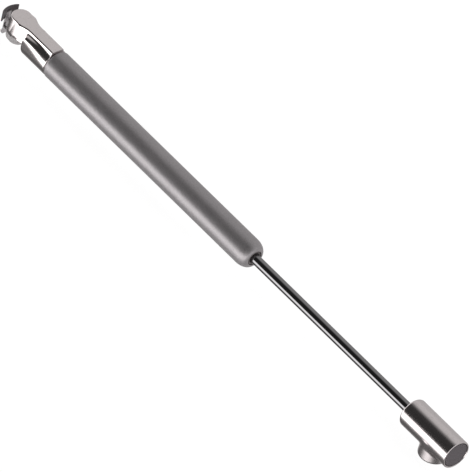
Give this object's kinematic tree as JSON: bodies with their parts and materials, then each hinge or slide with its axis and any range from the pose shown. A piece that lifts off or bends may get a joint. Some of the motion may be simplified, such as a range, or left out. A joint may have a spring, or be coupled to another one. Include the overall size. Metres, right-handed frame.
{
  "type": "gas strut stay",
  "caption": "Gas spring with a black piston rod, a grey pressure tube and a polished ball socket fitting on each end, one with a retaining clip.",
  "frame": {"origin": "below the middle of the strut, in the plane of the rod-end socket's rim", "axes": "+X along the strut towards the piston rod's end fitting, +Z away from the two sockets' mouths"},
  "size_m": [0.412, 0.0186, 0.0227],
  "materials": {
    "tube_steel": "satin zinc-grey finish with a fine orange-peel texture",
    "plated_steel": "plated",
    "seal_rubber": "matt",
    "guide_plastic": "matt",
    "bush_bronze": "machined",
    "polished_zinc": "polished",
    "seat_plastic": "satin",
    "spring_steel": "dark satin",
    "nitrided_rod": "glossy black, nitrided",
    "sintered_steel": "matt",
    "cap_grey": "satin grey"
  },
  "bodies": {
    "tube_body": {"cylinder_tube": "tube_steel", "end_plug": "plated_steel", "end_plug_seal": "seal_rubber", "rod_guide": "guide_plastic", "guide_bush": "bush_bronze", "rod_wiper": "seal_rubber", "rod_seal": "seal_rubber", "seal_washer": "plated_steel", "stop_ring": "plated_steel", "upper_end_fitting": "polished_zinc", "upper_ball_seat": "seat_plastic"},
    "piston_seal_body": {"piston_ring": "guide_plastic"},
    "rod_body": {"piston_rod": "nitrided_rod", "piston": "sintered_steel", "piston_front_washer": "plated_steel", "valve_disc": "plated_steel", "piston_rear_washer": "plated_steel", "lower_end_fitting": "polished_zinc", "lower_end_cap": "cap_grey", "lower_ball_seat": "seat_plastic", "lower_snap_ring": "plated_steel"},
    "clip_body": {"retaining_clip": "spring_steel"}
  },
  "joints": [
    {"name": "rod_slide", "type": "slide", "parent": "tube_body", "child": "piston_seal_body", "axis": [1, 0, 0], "range_m": [-0.118, 0], "stiffness_N_per_m": 150, "springref_m": 0.3},
    {"name": "rod_turn", "type": "hinge", "parent": "piston_seal_body", "child": "rod_body", "pos_m": [0, 0, 0.0128], "axis": [1, 0, 0], "continuous": true},
    {"name": "clip_release", "type": "slide", "parent": "tube_body", "child": "clip_body", "axis": [-1, 0, 0], "range_m": [0, 0.005]}
  ]
}
